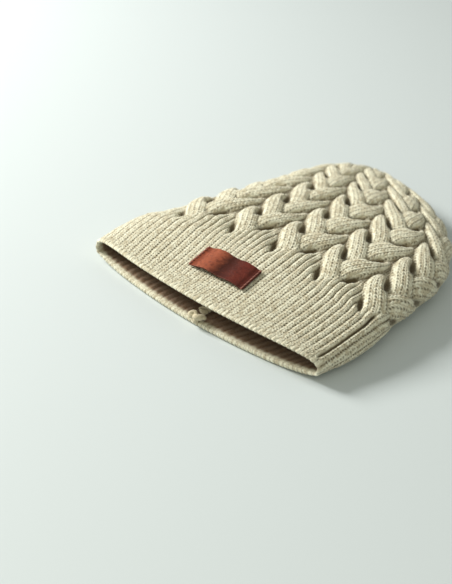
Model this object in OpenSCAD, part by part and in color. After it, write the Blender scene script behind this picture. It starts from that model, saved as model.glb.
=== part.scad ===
// Chunky cable-knit beanie, lying flat, front side up.
// Millimetres. Origin: middle of the mouth on the surface it rests on.
// +X runs across the mouth, +Y from the mouth to the crown, +Z up out of the front.

/* [Overall] */
// Distance from the mouth to the tip of the crown, lying flat
hat_len = 295; // [275:1:310]
// Width of the mouth, lying flat
mouth_w = 221; // [205:1:235]
// Depth of the ribbed band
band_depth = 78; // [60:1:90]
// Height of the closed mouth, both layers and the gap between them
mouth_h = 25; // [22:0.5:30]
// Height of the cabled body, both layers and the gap between them
body_h = 38; // [34:0.5:44]
// How far the ends of the mouth sit back from its middle
mouth_bow = 13; // [0:1:18]

/* [Knit] */
// Thickness of one layer of ribbing
rib_wall = 5; // [4:0.25:6]
// Thickness of one layer of cabling
cable_wall = 8; // [6.5:0.25:9]
// Line along which the crown folds, measured from the mouth
fold_y = 185; // [175:1:195]
// Running gap between layers that move apart
split_gap = 0.3; // [0.2:0.05:0.6]

/* [Leather label] */
// Length of the label across the band
label_w = 52; // [44:1:60]
// Depth of the label along the ribs
label_d = 27; // [20:1:32]
// Thickness of the leather
label_t = 1.3; // [1:0.1:2]
// Middle of the label, across the band
label_x = -8; // [-30:1:30]
// Middle of the label, from the mouth
label_y = 38; // [25:1:50]
// Turn of the label on the band, degrees
label_turn = 4; // [0:1:8]
// Flat tail of the label beyond the arch, at each end
label_tail = 2.6; // [2:0.2:5]
// Height of the arch in the middle of the label
label_arch = 3; // [1:0.5:4]

/* [Care label] */
// Length of the folded satin label, away from the seam
care_w = 28; // [20:1:30]
// Depth of the satin label along the seam
care_d = 34; // [25:1:40]
// Thickness of the folded satin
care_t = 0.7; // [0.5:0.1:1]
// Middle of the satin label, from the mouth
care_y = 112; // [105:1:125]

/* [Yarn] */
// Radius of the knitting yarn
yarn_r = 1.3; // [1:0.1:1.6]
// Radius of the sewing thread on the leather label
thread_r = 0.45; // [0.3:0.05:0.6]
// Radius of the ring of yarn that draws the last loops together
gather_r = 4; // [3:0.5:5]

/* [Hidden] */
$fn = 40;

cream = [0.86, 0.82, 0.70];
tan_leather = [0.50, 0.20, 0.13];
brown_thread = [0.36, 0.13, 0.09];
white_satin = [0.93, 0.93, 0.91];

// ---- Shape of the flattened hat ----

// Columns: station as a share of hat_len, then the half breadths out to the left and
// right folds as shares of half the mouth width
breadths = [
    [0.00, 1.04, 0.98],   [0.10, 1.08, 1.04],  [0.20, 1.07, 1.065], [0.30, 1.02, 1.065],
    [0.40, 0.96, 1.065],  [0.50, 0.885, 1.06], [0.60, 0.795, 1.04], [0.70, 0.72, 0.96],
    [0.80, 0.67, 0.79],   [0.90, 0.61, 0.51],  [1.00, 0.54, 0.04]];
left = 1;                 // columns of breadths
right = 2;

arc_n = 30;               // facets across one layer
crown_y = 0.84 * hat_len; // where the end of the crown starts to round off
tip_share = 0.17;         // least share of the breadth left at the tip
tip_z_share = 0.45;       // share of the height that rounding off leaves alone
rise_len = 115;           // depth over which the mouth height grows to the body height
droop_y = 200;            // where the crown starts to get lower
droop_len = 80;
droop_share = 0.20;       // share of the height lost over droop_len
thicken_len = 25;         // depth over which ribbing thickens to cabling
thicken_lead = 10;        // how far before the end of the band that starts
fold_share = 0.42;        // height of the side folds as a share of the full height
bow_len = 90;             // depth over which the bow of the mouth dies out
bow_shift = 0.25;         // share of the bow by which its middle comes forward
side_power = 0.82;        // powers of cosine and sine that shape the cross-section
face_power = 0.62;
back_push = 1.12;         // the back bulges by this and is cut off flat at z = 0

function clamp(v, low, high) = max(low, min(high, v));
function smooth(t) = let (c = clamp(t, 0, 1)) c * c * (3 - 2 * c);
// The values from first to last in equal steps
function spaced(first, last, steps) =
    [for (k = [0:steps]) first + (last - first) * k / steps];

// Slope of one column of breadths at row i
function breadth_slope(side, i) =
    let (before = breadths[max(i - 1, 0)], after = breadths[min(i + 1, len(breadths) - 1)])
    (after[side] - before[side]) / (after[0] - before[0]);

// Distance from x = 0 out to one fold: a smooth cubic through the column of breadths
function fold_reach(side, y) = let (
        share = y / hat_len,
        i = max([for (j = [0:len(breadths) - 2]) if (share >= breadths[j][0]) j]),
        step = breadths[i + 1][0] - breadths[i][0],
        t = clamp((share - breadths[i][0]) / step, 0, 1),
        slope_0 = breadth_slope(side, i) * step,
        slope_1 = breadth_slope(side, i + 1) * step)
    mouth_w / 2 * (
        (2 * pow(t, 3) - 3 * t * t + 1) * breadths[i][side]
        + (pow(t, 3) - 2 * t * t + t) * slope_0
        + (3 * t * t - 2 * pow(t, 3)) * breadths[i + 1][side]
        + (pow(t, 3) - t * t) * slope_1);

// Share of the breadth that is left as the crown rounds off to its tip
function close_in(y) = let (t = max(0, (y - crown_y) / (hat_len - crown_y)))
    max(tip_share, pow(max(0, 1 - pow(t, 2.6)), 1 / 2.2));

function mid_x(y) = (fold_reach(right, y) - fold_reach(left, y)) / 2;
function half_w(y) = (fold_reach(right, y) + fold_reach(left, y)) / 2 * close_in(y);
// Thickness of one layer
function wall(y) = rib_wall
    + (cable_wall - rib_wall) * smooth((y - band_depth + thicken_lead) / thicken_len);
// Height of the front at its middle
function top_z(y) = (mouth_h + (body_h - mouth_h) * smooth(y / rise_len))
    * (1 - droop_share * smooth((y - droop_y) / droop_len))
    * (tip_z_share + (1 - tip_z_share) * close_in(y));
// Height of the folds at the sides
function fold_z(y) = fold_share * top_z(y);
function signed_pow(v, power) = sign(v) * pow(abs(v), power);

// A point at the angle a, set in from the outer face by inset.
// 0 is the right fold, 90 the middle of the front, 270 the middle of the back
function skin(y, a, inset) = let (
        up = top_z(y) - fold_z(y) - inset,
        down = fold_z(y) - inset,
        x = (half_w(y) - inset) * signed_pow(cos(a), side_power),
        z = sin(a) >= 0 ? up * pow(sin(a), face_power)
                        : -min(down, down * back_push * pow(-sin(a), face_power)),
        bow = mouth_bow * clamp(1 - y / bow_len, 0, 1))
    [mid_x(y) + x, y + bow * (pow(x / (mouth_w / 2), 2) - bow_shift), fold_z(y) + z];

// Points around one station, by default the whole way round
function skin_row(y, inset = 0, start = 0, steps = 2 * arc_n - 1) =
    [for (i = [0:steps]) skin(y, start + 180 * i / arc_n, inset)];

// Two grids of points, a row for each station, joined into one closed shell.
// ring: the last point of each row joins up with its first
module shell_between(outer, inner, ring = false) {
    rows = len(outer);
    row_len = len(outer[0]);
    spans = ring ? row_len : row_len - 1;
    end = row_len - 1;
    last = rows - 1;
    function out(k, i) = k * row_len + (i % row_len);
    function in(k, i) = rows * row_len + out(k, i);
    function quad(a, b, c, d) = [[a, b, c], [a, c, d]];
    faces = concat(
        [for (k = [0:rows - 2], i = [0:spans - 1])
            each quad(out(k, i), out(k + 1, i), out(k + 1, i + 1), out(k, i + 1))],
        [for (k = [0:rows - 2], i = [0:spans - 1])
            each quad(in(k, i + 1), in(k + 1, i + 1), in(k + 1, i), in(k, i))],
        [for (i = [0:spans - 1]) each quad(out(0, i), out(0, i + 1), in(0, i + 1), in(0, i))],
        [for (i = [0:spans - 1])
            each quad(out(last, i + 1), out(last, i), in(last, i), in(last, i + 1))],
        ring ? [] : [for (k = [0:rows - 2])
            each quad(out(k + 1, 0), out(k, 0), in(k, 0), in(k + 1, 0))],
        ring ? [] : [for (k = [0:rows - 2])
            each quad(out(k, end), out(k + 1, end), in(k + 1, end), in(k, end))]);
    polyhedron(points = concat([for (row = outer) each row], [for (row = inner) each row]),
               faces = faces, convexity = 8);
}

// ---- Knitted layers ----

// One layer of the ribbed band, from fold to fold
module rib_layer(start, lift) {
    ys = spaced(0, band_depth - split_gap / 2, 6);
    function row(y, inset) = [for (p = skin_row(y, inset, start, arc_n)) p + [0, 0, lift]];
    shell_between([for (y = ys) row(y, 0)], [for (y = ys) row(y, wall(y))]);
}
module rib_band_back() { color(cream) rib_layer(start = 180, lift = 0); }
module rib_band_front() { color(cream) rib_layer(start = 0, lift = split_gap); }

// The cabled tube between the ribbing and the line where the crown folds
module cable_body() {
    ys = spaced(band_depth + split_gap / 2, fold_y - split_gap, 8);
    color(cream) shell_between(
        [for (y = ys) skin_row(y)],
        [for (y = ys) skin_row(y, wall(y))],
        ring = true);
}

// The closed end of the hat, drawn in to a small hole at the tip
module cable_crown() {
    round_n = 9;          // stations on the rounded end, closer together near the tip
    round_len = 0.995 * (hat_len - crown_y);
    inner_end = hat_len - 3;
    ys = concat(spaced(fold_y + split_gap, crown_y, 6),
                [for (k = [1:round_n]) crown_y + round_len * sin(90 * k / round_n)]);
    // The wall thins where the crown is too low or narrow for it
    function crown_wall(y) = min(wall(y), 0.55 * fold_z(y), 0.6 * half_w(y));
    color(cream) shell_between(
        [for (y = ys) skin_row(y)],
        [for (y = ys) skin_row(min(y, inner_end), crown_wall(y))],
        ring = true);
}

// ---- Seam inside the centre back ----

seam_h = 4.2;             // how far the turned-in edges stand up
seam_half_w = 3.2;
seam_n = 14;              // facets around the ridge
seam_start = 4;           // from the mouth
seam_end = 0.9 * hat_len;
seam_fold_gap = 1;        // from the fold line to the seam on each side of it
function seam_floor(y) = wall(y) + 0.45;
function seam_x(y) = 0.35 * mid_x(y);

// Turned-in edges of the knitted panel, as a ridge
module seam_ridge(y0, y1, steps) {
    points = [for (y = spaced(y0, y1, steps), i = [0:seam_n - 1]) let (a = 360 * i / seam_n)
        [seam_x(y) + seam_half_w * cos(a), y, seam_floor(y) + seam_h / 2 * (1 + sin(a))]];
    sides = [for (k = [0:steps - 1], i = [0:seam_n - 1])
        let (j = (i + 1) % seam_n, near = k * seam_n, far = near + seam_n)
            each [[near + i, near + j, far + j], [near + i, far + j, far + i]]];
    ends = [[for (i = [seam_n - 1:-1:0]) i], [for (i = [0:seam_n - 1]) steps * seam_n + i]];
    polyhedron(points = points, faces = concat(sides, ends), convexity = 4);
}
module back_seam() { color(cream) seam_ridge(seam_start, fold_y - seam_fold_gap, 13); }
module crown_seam() { color(cream) seam_ridge(fold_y + seam_fold_gap, seam_end, 6); }

link_pitch = 8;
link_r = 0.7;
link_len = 6;
link_slant = 35;          // degrees from square across the seam
link_rise = 0.8;          // middle of the yarn above the ridge
link_start = 8;           // first pass, from the mouth
link_crown_start = 6;     // first pass in the crown, from the fold line
link_margin = 4;          // kept clear before the fold line and before the seam end

// Slanted passes of the linking yarn over the seam ridge
module link_passes(y0, y1) {
    for (y = [y0:link_pitch:y1])
        translate([seam_x(y), y, seam_floor(y) + seam_h + link_rise])
            rotate([0, 90, link_slant])
                cylinder(r = link_r, h = link_len, center = true, $fn = 16);
}
module seam_linking_yarn() { color(cream) link_passes(link_start, fold_y - link_margin); }
module crown_linking_yarn() {
    color(cream) link_passes(fold_y + link_crown_start, seam_end - link_margin);
}

// Tied end of the seam at the lip of the mouth
module seam_end_knot() {
    // Columns: middle of the lobe, radius
    lobes = [[[0, 0, 0], 3.2], [[3.8, 2.2, 0.4], 2.2], [[-3.2, 1.6, -0.2], 2.0]];
    color(cream) translate([0, -bow_shift * mouth_bow - 1.2, rib_wall + 3.3])
        for (lobe = lobes) translate(lobe[0]) sphere(r = lobe[1], $fn = 32);
}

// ---- Yarn at the crown ----

tip_x = mid_x(hat_len);

// Ring of yarn through the last row of loops
module crown_gather_yarn() {
    tip_gap = 0.2;
    color(cream) translate([tip_x, hat_len + tip_gap + yarn_r, fold_z(hat_len)])
        rotate([-90, 0, 0])
            rotate_extrude() translate([gather_r, 0]) circle(r = yarn_r, $fn = 24);
}

// Knot inside the crown, with one strand towards the tip and two tails spread
// towards the mouth
module crown_knot() {
    knot_y = hat_len - 30;
    strand_r = 1.2;
    color(cream) translate([tip_x, knot_y, fold_z(knot_y) + 1]) {
        sphere(r = 3.4, $fn = 32);
        rotate([-90, 0, 0]) cylinder(r = strand_r, h = 20, $fn = 20);
        for (s = [-1, 1])
            rotate([90, 0, s * 25]) cylinder(r = strand_r, h = 16, $fn = 20);
    }
}

// ---- Leather label on the front of the band ----

label_z = top_z(label_y + 2) + 1.15;
tilt_reach = 15;          // the tilt follows the band this far either side of the middle
label_tilt = atan((top_z(label_y + tilt_reach) - top_z(label_y - tilt_reach))
                  / (2 * tilt_reach));

module on_label() {
    translate([label_x, label_y, label_z]) rotate([label_tilt, 0, label_turn]) children();
}

// Middle line of the leather seen from the mouth: flat tails, and an arch that peaks
// left of the middle
function label_line() = let (
        half = label_w / 2, arch_half = half - label_tail, z0 = label_t / 2, steps = 24)
    concat([[-half, z0]],
           [for (i = [0:steps]) let (t = i / steps)
               [-arch_half + 2 * arch_half * t,
                z0 + label_arch * pow(sin(180 * pow(t, 0.8)), 2)]],
           [[half, z0]]);

// The middle line thickened to both sides
module label_profile() {
    line = label_line();
    last = len(line) - 1;
    function offset_to(i) = let (along = line[min(i + 1, last)] - line[max(i - 1, 0)])
        [-along[1], along[0]] / norm(along) * label_t / 2;
    polygon(concat([for (i = [0:last]) line[i] + offset_to(i)],
                   [for (i = [last:-1:0]) line[i] - offset_to(i)]));
}

module leather_label() {
    color(tan_leather) on_label()
        translate([0, label_d / 2, 0]) rotate([90, 0, 0])
            linear_extrude(height = label_d) label_profile();
}

// Row of stitches down one end (side -1 left, 1 right), through leather and knit
module label_stitches(side) {
    pitch = 4;
    depth = 2;            // below the underside of the leather
    proud = 0.35;         // above its top
    color(brown_thread) on_label()
        for (k = [-3:3])
            translate([side * (label_w / 2 - label_tail / 2), k * pitch, -depth])
                cylinder(r = thread_r, h = depth + label_t + proud, $fn = 16);
}
module label_stitches_left() { label_stitches(-1); }
module label_stitches_right() { label_stitches(1); }

// ---- Care label inside the back ----

care_x = seam_x(care_y) + 5;      // edge at the seam
care_z = seam_floor(care_y + care_d / 2) + 1.4;

// Folded satin label, sewn into the seam along one edge
module care_label() {
    corner_r = 2;
    color(white_satin) translate([care_x, care_y - care_d / 2, care_z])
        linear_extrude(height = care_t) hull() {
            square([1, care_d]);
            for (y = [corner_r, care_d - corner_r])
                translate([care_w - corner_r, y]) circle(r = corner_r, $fn = 32);
        }
}

// Stitches lying along the edge at the seam
module care_label_stitches() {
    pitch = 6.5;
    color(white_satin) for (k = [-2:2])
        translate([care_x - 0.9, care_y + k * pitch, care_z - 0.6]) rotate([-90, 0, 0])
            cylinder(r = 0.4, h = 3.4, center = true, $fn = 16);
}

rib_band_back();
rib_band_front();
cable_body();
cable_crown();
back_seam();
crown_seam();
seam_linking_yarn();
crown_linking_yarn();
seam_end_knot();
crown_gather_yarn();
crown_knot();
leather_label();
label_stitches_left();
label_stitches_right();
care_label();
care_label_stitches();
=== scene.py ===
"""A cable-knit beanie with a leather label, lying on its back layer.

The mouth is at y = 0 and the gathered tip at y = HAT_LENGTH. x runs from the left fold to the
right fold, and z runs up from the back layer to the front layer. Shapes are worked out in
millimetres and scaled to metres when a mesh is made.
"""
import math
import bpy
import numpy as np
from mathutils import Matrix, Vector


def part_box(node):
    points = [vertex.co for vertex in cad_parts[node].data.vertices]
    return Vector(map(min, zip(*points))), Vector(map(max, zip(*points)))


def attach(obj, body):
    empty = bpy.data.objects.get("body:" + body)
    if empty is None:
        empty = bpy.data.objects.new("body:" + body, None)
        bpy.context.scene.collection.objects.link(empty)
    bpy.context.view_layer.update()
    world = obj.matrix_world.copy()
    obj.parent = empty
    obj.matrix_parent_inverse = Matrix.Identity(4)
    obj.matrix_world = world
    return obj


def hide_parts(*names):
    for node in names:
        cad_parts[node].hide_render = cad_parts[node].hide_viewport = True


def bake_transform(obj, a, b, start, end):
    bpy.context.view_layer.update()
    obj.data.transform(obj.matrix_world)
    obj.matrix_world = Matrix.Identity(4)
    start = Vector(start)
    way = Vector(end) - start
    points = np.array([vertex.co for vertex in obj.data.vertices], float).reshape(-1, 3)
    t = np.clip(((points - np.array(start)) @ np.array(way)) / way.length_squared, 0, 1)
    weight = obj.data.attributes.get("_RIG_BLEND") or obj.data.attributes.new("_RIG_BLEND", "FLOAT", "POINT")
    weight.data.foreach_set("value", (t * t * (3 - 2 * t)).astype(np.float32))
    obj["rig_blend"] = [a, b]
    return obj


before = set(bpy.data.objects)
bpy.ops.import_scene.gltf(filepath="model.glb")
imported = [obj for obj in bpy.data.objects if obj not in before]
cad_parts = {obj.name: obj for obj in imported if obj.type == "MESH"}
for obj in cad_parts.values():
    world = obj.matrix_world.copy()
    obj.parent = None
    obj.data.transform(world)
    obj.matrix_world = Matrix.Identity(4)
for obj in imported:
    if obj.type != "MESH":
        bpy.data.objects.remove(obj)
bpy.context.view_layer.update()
MM = 0.001
rng = np.random.default_rng(7)

# ------------------------------------------------------------------ sizes, mm
HAT_LENGTH = round(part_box("cable_crown")[1][1] / MM, 1)
MOUTH_WIDTH, MOUTH_HEIGHT, BODY_HEIGHT = 221.0, 25.0, 38.0
MOUTH_BOW = 13.0                  # how far the folds of the mouth stand behind its middle
MOUTH_DIP = 0.25 * MOUTH_BOW      # how far the middle of the mouth lies in front of y = 0
RIB_WALL, CABLE_WALL = 5.0, 8.0
BAND_LENGTH = 78.0
CROWN_Y = 0.84 * HAT_LENGTH       # where the crown starts to close
TIP_SHARE = 0.17                  # least share of the width left at the tip
FOLD_SHARE = 0.42                 # height of the folds, as a share of the hat's height

# Outline of each fold: share of the length, share of half the mouth's width.
LEFT_OUTLINE = [
    (0, 1.04), (0.10, 1.08), (0.20, 1.07), (0.30, 1.02), (0.40, 0.96), (0.50, 0.885),
    (0.60, 0.795), (0.70, 0.72), (0.80, 0.67), (0.90, 0.61), (1, 0.54)]
RIGHT_OUTLINE = [
    (0, 0.98), (0.10, 1.04), (0.20, 1.065), (0.30, 1.065), (0.40, 1.065), (0.50, 1.06),
    (0.60, 1.04), (0.70, 0.96), (0.80, 0.79), (0.90, 0.51), (1, 0.04)]

STRANDS = 20                      # cable strands round the hat
WALES = 6                         # wales to a strand
RIBS = 4                          # ribs to a strand
COLUMNS = STRANDS * 42            # grid columns round the hat
ROW_STEP = 0.55                   # grid row spacing along the hat
COARSE = 2                        # the inside is this many times coarser
STRAND_WIDTH = 24.0
CROSSING_STEP = 18.6              # half the cable's repeat
FIRST_CROSSING = 107.5
WALE_WIDTH = 4.05
STITCH = 2.8                      # one row of stitches
LIP_ROWS, TIP_ROWS = 10, 14
# where the knit is cut into pieces, measured along the surface
BODY_START, CROWN_START, TIP_START = 84.0, 140.0, 215.0

LABEL_LENGTH, LABEL_WIDTH, LABEL_THICK = 52.0, 27.0, 1.3
LABEL_X, LABEL_Y = -8.0, 38.0
LABEL_TURN = math.radians(4.0)
LABEL_HEM = 2.6                   # flat end of the strip, under the stitches

BAND_BLEND = dict(start=(0, 0.092, 0.03), end=(0, 0.050, 0.03))
CROWN_BLEND = dict(start=(0, 0.148, 0.03), end=(0, 0.232, 0.03))


# ------------------------------------------------------------------ the hat's form
def smooth(t):
    t = np.clip(t, 0.0, 1.0)
    return t * t * (3 - 2 * t)


def bell(x, centre, width):
    return np.exp(-((x - centre) / width) ** 2)


def curve(points, x):
    """Cubic Hermite curve through a table of points."""
    px, py = np.array(points, float).T
    slope = np.empty_like(py)
    slope[1:-1] = (py[2:] - py[:-2]) / (px[2:] - px[:-2])
    slope[0] = (py[1] - py[0]) / (px[1] - px[0])
    slope[-1] = (py[-1] - py[-2]) / (px[-1] - px[-2])
    x = np.asarray(x, float)
    i = np.clip(np.searchsorted(px, x, side="right") - 1, 0, len(px) - 2)
    gap = px[i + 1] - px[i]
    s = np.clip((x - px[i]) / gap, 0, 1)
    return ((2 * s**3 - 3 * s**2 + 1) * py[i] + (s**3 - 2 * s**2 + s) * slope[i] * gap
            + (3 * s**2 - 2 * s**3) * py[i + 1] + (s**3 - s**2) * slope[i + 1] * gap)


def close_in(y):
    """Share of the width left as the crown closes."""
    t = np.clip((y - CROWN_Y) / (HAT_LENGTH - CROWN_Y), 0, 1)
    return np.maximum(TIP_SHARE, np.clip(1 - t**2.6, 0, 1) ** (1 / 2.2))


def mid_x(y):
    share = y / HAT_LENGTH
    return MOUTH_WIDTH / 4 * (curve(RIGHT_OUTLINE, share) - curve(LEFT_OUTLINE, share))


def half_width(y):
    share = y / HAT_LENGTH
    full = MOUTH_WIDTH / 4 * (curve(RIGHT_OUTLINE, share) + curve(LEFT_OUTLINE, share))
    return full * close_in(y)


def wall(y):
    return RIB_WALL + (CABLE_WALL - RIB_WALL) * smooth((y - BAND_LENGTH + 10) / 25)


def top_z(y):
    swell = MOUTH_HEIGHT + (BODY_HEIGHT - MOUTH_HEIGHT) * smooth(y / 115)
    return swell * (1 - 0.20 * smooth((y - 200) / 80)) * (0.45 + 0.55 * close_in(y))


def fold_z(y):
    return FOLD_SHARE * top_z(y)


def skin(y, angle, inset):
    """Point on the tube, sunk by inset. Angle: 0 right fold, 90 front, 180 left fold, 270 back."""
    cos, sin = np.cos(np.radians(angle)), np.sin(np.radians(angle))
    fold = fold_z(y)
    below = fold - inset
    rise = np.abs(sin) ** 0.62
    x = (half_width(y) - inset) * np.sign(cos) * np.abs(cos) ** 0.82
    z = np.where(sin >= 0, fold + (top_z(y) - fold - inset) * rise,
                 fold - np.minimum(below, below * 1.12 * rise))
    mouth = np.clip(1 - y / 90, 0, 1)
    bowed = y + MOUTH_BOW * (x / (MOUTH_WIDTH / 2)) ** 2 * mouth - MOUTH_DIP * mouth
    return np.stack([mid_x(y) + x, bowed, z], -1)


# ------------------------------------------------------------------ the knit's grid
tip_x, tip_z = mid_x(HAT_LENGTH), fold_z(HAT_LENGTH)

# distance along the surface, which weighs the changes of width and height
fine_y = np.linspace(0, HAT_LENGTH, 4000)
steps = np.sqrt(np.diff(fine_y) ** 2 + (0.6 * np.diff(half_width(fine_y))) ** 2
                + (0.8 * np.diff(top_z(fine_y))) ** 2)
fine_along = np.concatenate([[0], np.cumsum(steps)])
END_ALONG = fine_along[-1]


def row_of(distance):
    """Grid row nearest a distance, shared by the fine and the coarse grid."""
    return int(round(distance / ROW_STEP / COARSE)) * COARSE


LAST_ROW = row_of(END_ALONG)
row_along = np.arange(LAST_ROW + 1) * (END_ALONG / LAST_ROW)
row_y = np.interp(row_along, fine_along, fine_y)
# position round the hat in strands: 0 on the front, 5 on the right fold, -5 on the left
column_around = -STRANDS / 2 + STRANDS * np.arange(COLUMNS) / COLUMNS


def row_angles(y):
    """Angle of each column of a row, and its girth. Columns are even along the front, and the
    back takes up the slack."""
    fine = np.linspace(0, 360, 1441)
    points = skin(np.full_like(fine, y), fine, 3.0)
    sides = np.linalg.norm(np.diff(points, axis=0), axis=1)
    arc = np.concatenate([[0], np.cumsum(sides)])
    girth = arc[-1]
    front = fine <= 180
    start_x = tip_x * smooth((y - 185) / 110)
    start_angle = np.interp(-start_x, -points[front, 0], fine[front])
    start_arc = np.interp(start_angle, fine, arc)
    slack = float(np.clip(girth / (STRANDS * STRAND_WIDTH) - 1, -0.14, 0.05))
    turn = np.linspace(-0.5, 0.5, 2001)
    shift = 40.0 / girth
    bend = np.sin(2 * np.pi * (turn - shift)) + np.sin(2 * np.pi * shift)
    spread = STRANDS * (turn + slack / (2 * np.pi) * bend)
    spread = (spread - spread[0]) / (spread[-1] - spread[0]) * STRANDS + spread[0]
    wrapped = np.where(column_around < spread[0], column_around + STRANDS,
                       np.where(column_around > spread[-1], column_around - STRANDS,
                                column_around))
    # the angle falls towards the right fold
    at = start_arc - np.interp(wrapped, spread, turn) * girth
    return np.interp(np.mod(at, girth), arc, fine), girth


angle = np.empty((LAST_ROW + 1, COLUMNS))
girths = np.empty(LAST_ROW + 1)
for row in range(LAST_ROW + 1):
    angle[row], girths[row] = row_angles(row_y[row])
station = np.repeat(row_y[:, None], COLUMNS, 1)
along = np.repeat(row_along[:, None], COLUMNS, 1)
around = np.repeat(column_around[None, :], LAST_ROW + 1, 0)
width_share = np.repeat((girths / STRANDS)[:, None], COLUMNS, 1) / STRAND_WIDTH
gain = np.clip(width_share, 0.12, 1.0)            # relief shrinks as the crown draws in
inset_gain = np.minimum(1.0, gain * 1.15)

# the rows of the cable pattern run a little lower towards both folds
level = along + 5.5 * (1 - np.cos(2 * np.pi * around / 10))
cabled = smooth((level - 70) / 20)
near_fold = bell(np.abs(around), 5.7, 1.1)
inset = (2.7 + (6.4 - 2.7) * cabled) * inset_gain
inset = inset * (1 - 0.40 * cabled * near_fold)
# the folds are drawn in, the right one more towards the crown
right_draw = (0.4 + 3.4 * smooth((along - 165) / 50)) * bell(around, 5.2, 1.6)
draw_in = (cabled * (5.0 * bell(around, -5.2, 1.6) + right_draw)
           * (1 - 0.6 * smooth((along - 240) / 40)) * inset_gain)


# ------------------------------------------------------------------ relief of the knit
def crossing_rows(distance):
    """Count of cable crossings, which come closer as the crown turns over."""
    fine = np.linspace(-50, 420, 2000)
    spacing = CROSSING_STEP - 2.2 * smooth((fine - 150) / 40) - 2.0 * smooth((fine - 230) / 30)
    count = np.concatenate([[0], np.cumsum(np.diff(fine) / spacing[1:])])
    count -= np.interp(FIRST_CROSSING, fine, count)
    return np.interp(distance, fine, count)


# the ribs fan out from the drawn-in lip, and the strands lie a little unevenly
fan = np.where(around > 0.5, 0.42 * smooth((around - 0.5) / 5),
               -0.44 * smooth((0.5 - around) / 2.2)) * (1 - smooth((np.abs(around) - 5.5) / 4))
lane = (around + fan * np.clip(1 - along / 90, 0, 1) - 0.12
        - 0.26 * bell(around, -2, 1.1) * (1 - smooth((along - 190) / 60)))
lane = lane + 0.03 * np.sin(along / 31.0 + 1.3 * around) * smooth(along / 60)
crossing = crossing_rows(level) + 0.05 * np.sin(along / 23.0 - 0.9 * around)

# What lies on top at each grid point: its height, its position across in wales and along in
# stitches, the strand's number, and edge, which is 0 mid-strand and 1 at its edge.
surface = {name: np.zeros(around.shape) for name in ("wale", "stitch", "strand", "edge")}
surface["height"] = np.full(around.shape, -9.0)


def offer(height, melt=None, **values):
    """Keep the higher surface at each point; melt is how far two heights run together."""
    below = surface["height"]
    higher = height > below
    for name, value in values.items():
        surface[name] = np.where(higher, value, surface[name])
    surface["height"] = np.maximum(height, below)
    if melt is not None:
        surface["height"] += np.clip(melt - np.abs(height - below), 0, None) ** 2 / (4 * melt)


# ribs, two wales wide, ending under the first cables
rib = np.mod(lane * RIBS, 1.0)
rib_side = np.clip(np.abs(rib - 0.5) / 0.47, 0, 1)         # 0 mid-rib, 1 in the groove
course_wave = np.cos(2 * np.pi * along / STITCH)
rib_wave = np.cos(2 * np.pi * (along / STITCH - 0.95))
rib_round = np.clip(1 - rib_side**3.4, 0, 1) ** 0.6
rib_round = rib_round + (1 - rib_round) * 0.58 * (0.5 + 0.5 * rib_wave)
# share of the groove's depth kept: less at the lip, more towards the cables and the folds
groove_share = 0.24 + 0.46 * np.clip(
    0.75 * smooth((level - 44) / 34) + 1.10 * smooth((around - 1.8) / 1.6)
    + 0.45 * smooth((-around - 0.3) / 1.5), 0, 1)
welt = smooth((14.0 - along) / 3.0)
flat = 1 - (1 - welt * 0.85) * groove_share
rib_height = inset * 0.90 * (rib_round * (1 - flat) + flat)
rib_height *= 1 - 0.13 * smooth((along - 13) / 2.5) * smooth((19 - along) / 2.5)
rib_end = 92.0 - 8.0 * np.cos(np.pi * lane)
rib_height = (rib_height * (1 - smooth((level - rib_end + 5) / 16) * 0.42)
              - 3.0 * smooth((level - rib_end - 12) / 7))
offer(rib_height, wale=(rib - 0.5) * 2 + np.floor(lane * RIBS) * 2 + 1, stitch=along / STITCH,
      strand=5000 + np.floor(lane * RIBS), edge=rib_side)
# strands lying underneath, seen in the gaps
offer((0.38 + 0.30 * near_fold) * inset * smooth((level - rib_end + 2) / 8),
      wale=(lane + 0.5) * WALES, stitch=along / STITCH,
      strand=6000 + np.floor(lane + 0.5), edge=np.abs(np.mod(lane, 1) - 0.5) * 2)

# Two families of cable strands. parity picks the lanes and crossings, lean is the side a strand
# sways to and reach how far in mm. The tables run along the visible part, in crossings from its
# middle: half width in mm, and share of the full height.
FAMILIES = [
    dict(parity=0, lean=-1.0, reach=10.5,
         half_widths=[(-1.7, 6), (-1.35, 8.5), (-1.0, 9.8), (-0.6, 11.6), (0, 12.0),
                      (0.5, 11.0), (1.0, 8.2), (1.4, 5.0), (1.7, 2.0)],
         heights=[(-1.7, 0.15), (-1.3, 0.42), (-0.8, 0.74), (-0.3, 0.95), (0.3, 1.04),
                  (0.8, 1.0), (1.25, 0.74), (1.7, 0.2)]),
    dict(parity=1, lean=1.0, reach=9.0,
         half_widths=[(-1.6, 9), (-1.25, 11.4), (-0.9, 13.4), (-0.4, 13.8), (0, 12.9),
                      (0.6, 10.2), (1.1, 6.6), (1.45, 4.0), (1.7, 2.0)],
         heights=[(-1.6, 0.1), (-1.35, 0.35), (-1.05, 0.72), (-0.6, 0.95), (0, 1.02),
                  (0.6, 0.95), (1.15, 0.66), (1.7, 0.2)]),
]
SWAY_END = 1.4                    # crossings from a strand's middle to the end of its sway
# unevenness by lane and crossing: x, y, width, height, and place of the stitches
jitter = rng.uniform(-1, 1, (STRANDS, 64, 6))


def lookup(points, t):
    """Interpolation half way between straight and smooth steps."""
    px, py = np.array(points, float).T
    i = np.clip(np.searchsorted(px, t, side="right") - 1, 0, len(px) - 2)
    f = np.clip((t - px[i]) / (px[i + 1] - px[i]), 0, 1)
    return py[i] + (py[i + 1] - py[i]) * (f * f * (3 - 2 * f) * 0.5 + f * 0.5)


def nearest(value, parity):
    """Nearest even (parity 0) or odd (parity 1) number."""
    return 2 * np.round((value - parity) / 2) + parity


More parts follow.
